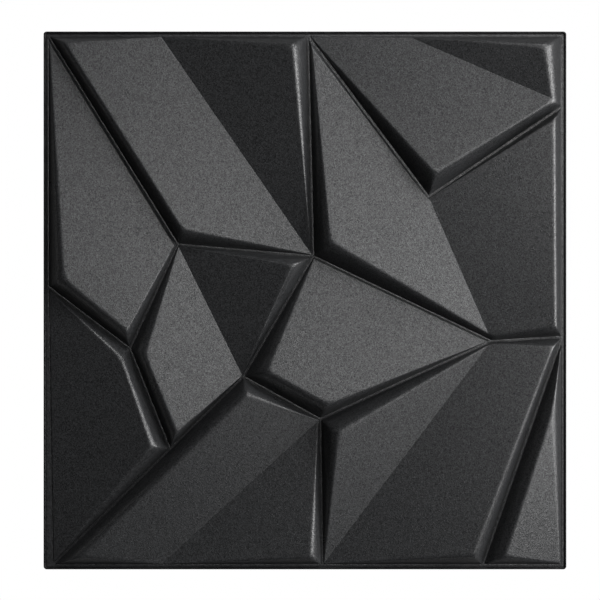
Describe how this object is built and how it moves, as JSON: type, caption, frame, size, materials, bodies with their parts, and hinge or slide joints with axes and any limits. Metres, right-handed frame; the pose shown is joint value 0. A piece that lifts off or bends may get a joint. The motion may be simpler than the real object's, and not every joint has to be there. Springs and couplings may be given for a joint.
{
  "type": "3d wall panel tile",
  "caption": "Rectangular decorative wall panel formed from one thin plastic sheet, with slanted faceted cells between narrow grooves, hollow and open at the back.",
  "frame": {"origin": "centre of the panel's outline, on the plane of its back, which lies on the floor or against the wall", "axes": "+Z out of the decorated face, +X to the picture's right, +Y to the picture's top, along the longer side"},
  "size_m": [0.486, 0.5, 0.0244],
  "materials": {
    "black_sheet": "matte black with a fine leather grain"
  },
  "bodies": {
    "root": {"wall_panel": "black_sheet"}
  },
  "joints": []
}
